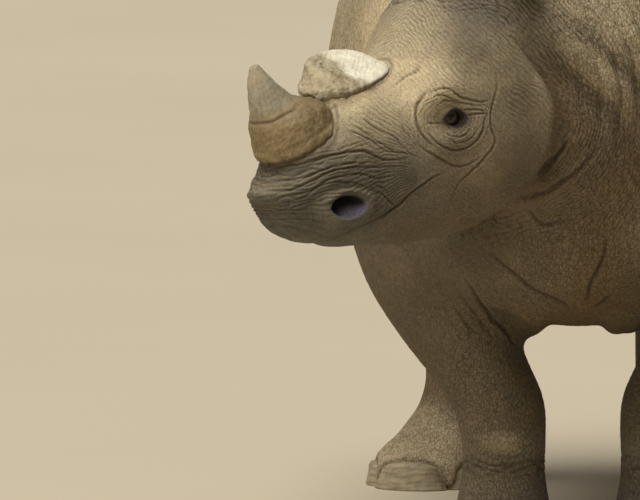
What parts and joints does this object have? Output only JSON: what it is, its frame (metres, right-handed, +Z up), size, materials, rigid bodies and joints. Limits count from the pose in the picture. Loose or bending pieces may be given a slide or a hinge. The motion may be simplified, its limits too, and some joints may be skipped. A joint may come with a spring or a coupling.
{
  "type": "black rhinoceros, still life-size model",
  "caption": "Life-size adult black rhinoceros standing square with its head turned to its right, hooked upper lip, and two cut-back horns.",
  "frame": {"origin": "on the floor, under the centre of the overall box", "axes": "+Z up, the animal faces -Y, its left side is +X"},
  "size_m": [1.0664, 2.606, 1.4318],
  "materials": {
    "skin": "thick wrinkled grey hide, dusty and matt",
    "horn": "rough fibrous horn, cut back and worn",
    "hoof": "dull dusty hoof horn",
    "eye": "dark wet eye",
    "hair": "short dark bristles"
  },
  "bodies": {
    "root": {"ear_left": "skin", "ear_right": "skin", "eye_left": "eye", "eye_right": "eye", "foreleg_left": "skin", "foreleg_right": "skin", "head": "skin", "hindleg_left": "skin", "hindleg_right": "skin", "hoof_fore_left_inner": "hoof", "hoof_fore_left_middle": "hoof", "hoof_fore_left_outer": "hoof", "hoof_fore_right_inner": "hoof", "hoof_fore_right_middle": "hoof", "hoof_fore_right_outer": "hoof", "hoof_hind_left_inner": "hoof", "hoof_hind_left_middle": "hoof", "hoof_hind_left_outer": "hoof", "hoof_hind_right_inner": "hoof", "hoof_hind_right_middle": "hoof", "hoof_hind_right_outer": "hoof", "horn_front": "horn", "horn_rear": "horn", "neck": "skin", "tail": "skin", "trunk": "skin"}
  },
  "joints": []
}
